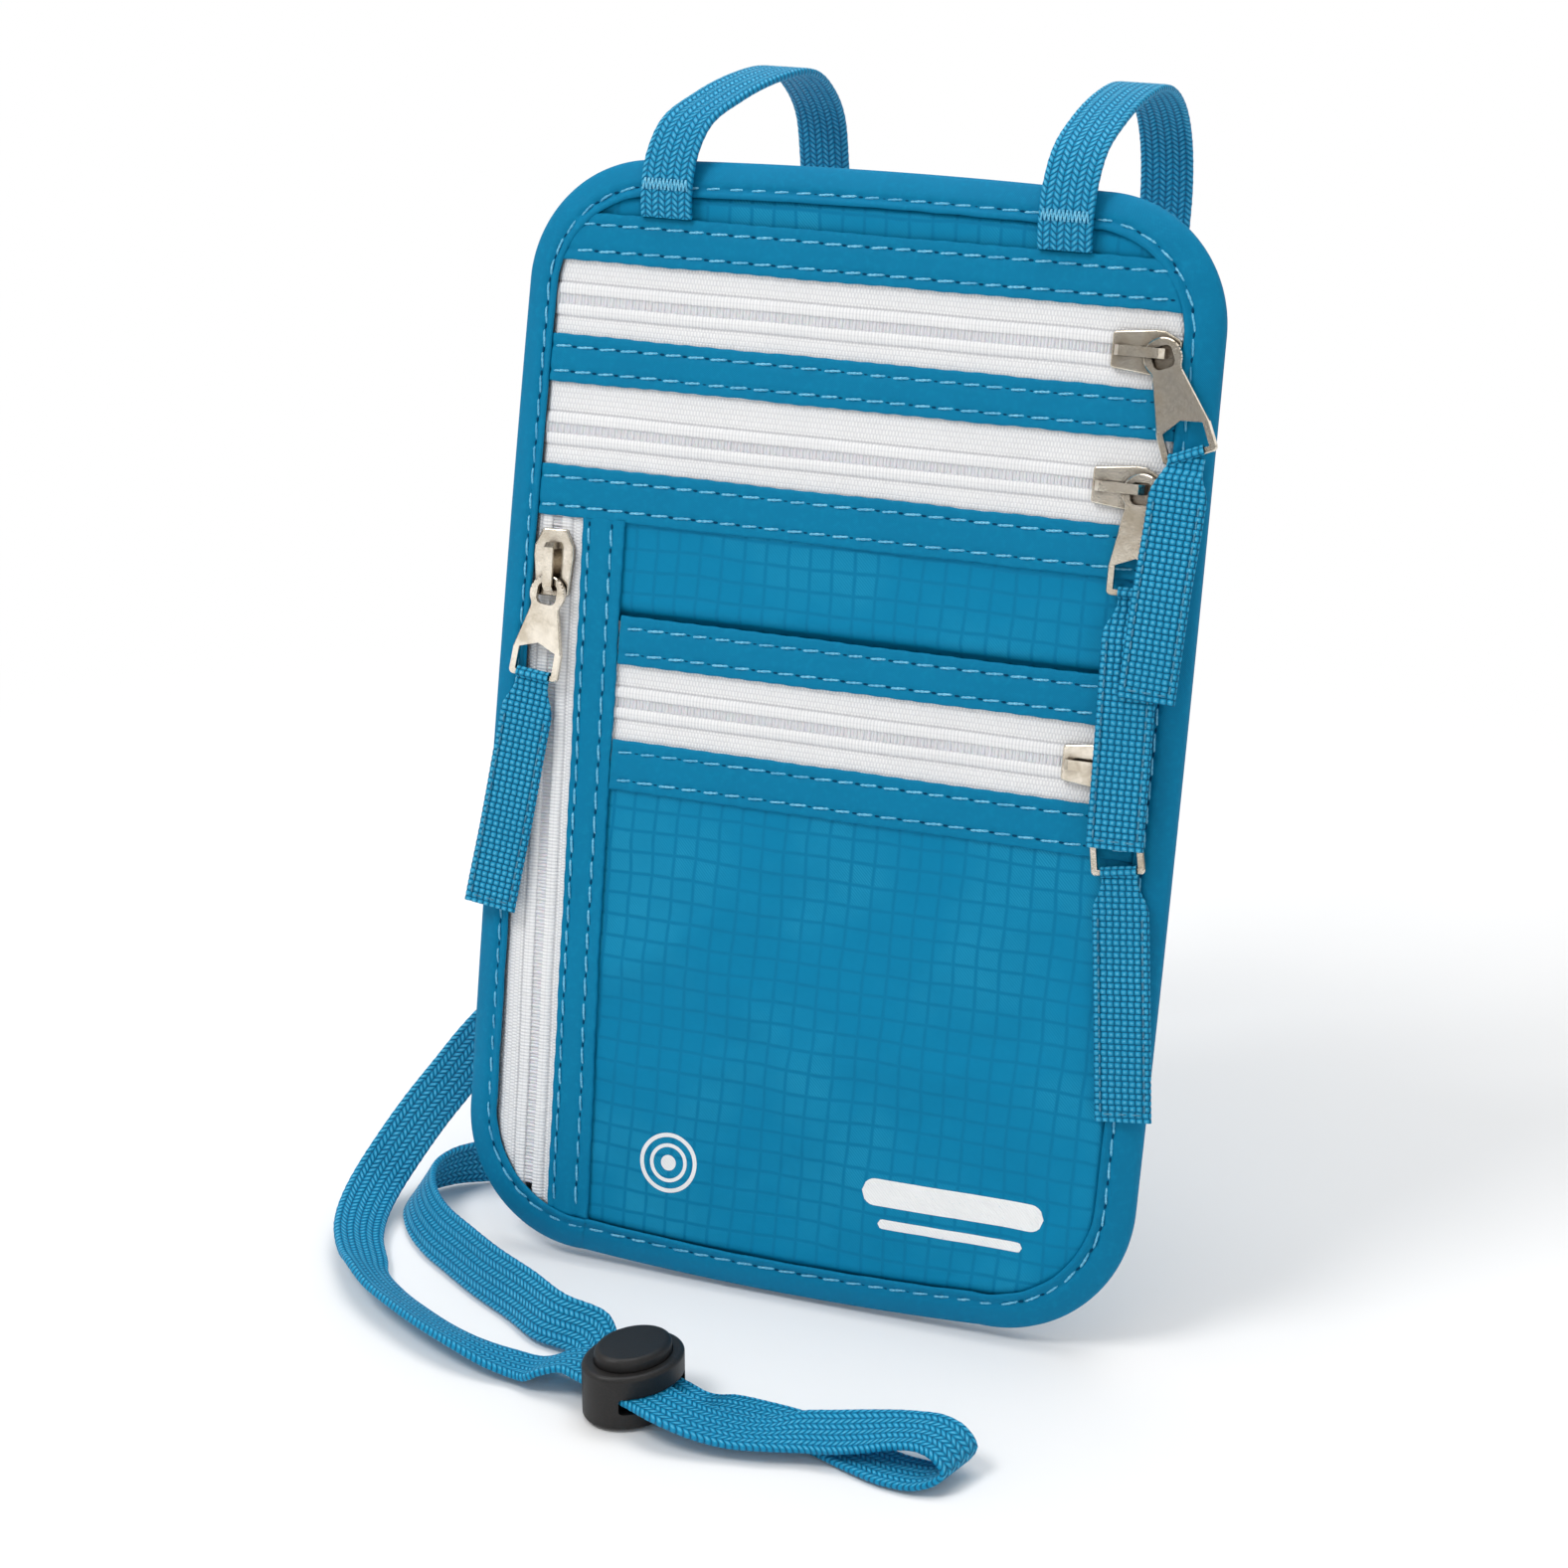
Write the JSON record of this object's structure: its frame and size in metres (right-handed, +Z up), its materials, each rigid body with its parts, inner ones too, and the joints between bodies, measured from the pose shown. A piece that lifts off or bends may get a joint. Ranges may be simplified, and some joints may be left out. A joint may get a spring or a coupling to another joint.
{
  "type": "neck pouch wallet",
  "caption": "Flat travel pouch worn at the neck: zipped pockets with ribbon pulls, bound edge, and a flat braided strap with a sprung cord lock.",
  "frame": {"origin": "middle of the pouch's bottom edge, on the ground", "axes": "+X to the wearer's left along the pouch's width as seen from its front, +Y to the back, +Z up; the pouch leans back 13.8 degrees"},
  "size_m": [0.1574, 0.1585, 0.2153],
  "materials": {
    "binding_tape": "tight twill tape",
    "ripstop": "ripstop weave, slight sheen",
    "lining": "metallised lining",
    "band": "plain weave",
    "zip_tape": "woven",
    "zip_coil": "satin",
    "braid": "flat braid",
    "thread": "thread",
    "nickel": "brushed nickel plate",
    "webbing": "woven ribbon",
    "acetal": "fine texture",
    "spring_steel": "bare wire"
  },
  "bodies": {
    "pouch": {"binding": "binding_tape", "back_panel": "ripstop", "rfid_lining_back": "lining", "pocket_divider": "lining", "rfid_lining_front": "lining", "front_panel_top": "ripstop", "front_panel_middle": "ripstop", "front_panel_lower": "ripstop", "seam_band_1": "band", "seam_band_2": "band", "seam_band_3": "band", "seam_band_4": "band", "seam_band_5": "band", "seam_band_side": "band", "zip_1_tape": "zip_tape", "zip_1_coil": "zip_coil", "zip_2_tape": "zip_tape", "zip_2_coil": "zip_coil", "zip_3_tape": "zip_tape", "zip_3_coil": "zip_coil", "side_zip_tape": "zip_tape", "side_zip_coil": "zip_coil", "neck_strap": "braid", "strap_bartacks": "thread"},
    "slider_1": {"zip_slider_1": "nickel"},
    "slider_2": {"zip_slider_2": "nickel"},
    "slider_3": {"zip_slider_3": "nickel"},
    "side_slider": {"side_zip_slider": "nickel"},
    "pull_1": {"zip_pull_1": "nickel"},
    "pull_2": {"zip_pull_2": "nickel"},
    "pull_3": {"zip_pull_3": "nickel"},
    "side_pull": {"side_zip_pull": "nickel"},
    "ribbon_1": {"zip_ribbon_1": "webbing"},
    "ribbon_2": {"zip_ribbon_2": "webbing"},
    "ribbon_3": {"zip_ribbon_3": "webbing"},
    "side_ribbon": {"side_zip_ribbon": "webbing"},
    "cord_lock": {"cord_lock_body": "acetal", "cord_lock_spring": "spring_steel"},
    "cord_lock_press": {"cord_lock_button": "acetal"}
  },
  "joints": [
    {"name": "zip_1_slide", "type": "slide", "parent": "pouch", "child": "slider_1", "axis": [1, 0, 0], "range_m": [-0.1, 0]},
    {"name": "zip_2_slide", "type": "slide", "parent": "pouch", "child": "slider_2", "axis": [1, 0, 0], "range_m": [-0.1, 0]},
    {"name": "zip_3_slide", "type": "slide", "parent": "pouch", "child": "slider_3", "axis": [1, 0, 0], "range_m": [-0.082, 0]},
    {"name": "side_zip_slide", "type": "slide", "parent": "pouch", "child": "side_slider", "axis": [-0.0358, 0.2387, 0.9704], "range_m": [-0.098, 0]},
    {"name": "pull_1_swivel", "type": "hinge", "parent": "slider_1", "child": "pull_1", "pos_m": [0.0563, 0.03807, 0.17558], "axis": [0, -0.9711, 0.2389], "range_deg": [-14, 68]},
    {"name": "pull_2_swivel", "type": "hinge", "parent": "slider_2", "child": "pull_2", "pos_m": [0.0552, 0.03241, 0.15257], "axis": [0, -0.9711, 0.2389], "range_deg": [-45, 70]},
    {"name": "pull_3_swivel", "type": "hinge", "parent": "slider_3", "child": "pull_3", "pos_m": [0.0547, 0.02063, 0.10469], "axis": [0, -0.9711, 0.2389], "range_deg": [-58, 80]},
    {"name": "side_pull_fold", "type": "hinge", "parent": "side_slider", "child": "side_pull", "pos_m": [-0.0555, 0.02575, 0.12547], "axis": [-0.9945, 0.025, 0.1015], "range_deg": [0, 110]},
    {"name": "ribbon_1_fold", "type": "hinge", "parent": "pull_1", "child": "ribbon_1", "pos_m": [0.06312, 0.03404, 0.15919], "axis": [-0.9272, -0.0895, -0.3638], "range_deg": [0, 93]},
    {"name": "ribbon_2_fold", "type": "hinge", "parent": "pull_2", "child": "ribbon_2", "pos_m": [0.05552, 0.02806, 0.1349], "axis": [-0.9998, -0.0042, -0.0169], "range_deg": [0, 84]},
    {"name": "ribbon_3_fold", "type": "hinge", "parent": "pull_3", "child": "ribbon_3", "pos_m": [0.05786, 0.01635, 0.08729], "axis": [-0.9848, -0.0415, -0.1686], "range_deg": [0, 90]},
    {"name": "side_ribbon_fold", "type": "hinge", "parent": "side_pull", "child": "side_ribbon", "pos_m": [-0.0574, 0.02142, 0.1079], "axis": [-0.9945, 0.025, 0.1015], "range_deg": [0, 65]},
    {"name": "cord_lock_slide", "type": "slide", "parent": "pouch", "child": "cord_lock", "axis": [0.9118, -0.4107, 0], "range_m": [-0.003, 0.003]},
    {"name": "cord_lock_button_press", "type": "slide", "parent": "cord_lock", "child": "cord_lock_press", "axis": [0, 0, 1], "range_m": [-0.0015, 0], "stiffness_N_per_m": 600, "springref_m": 0.002, "deforming": ["cord_lock_spring"]}
  ],
  "couplings": [
    {"joint": "ribbon_1_fold", "follows": "ribbon_2_fold", "ratio": 1.1}
  ]
}
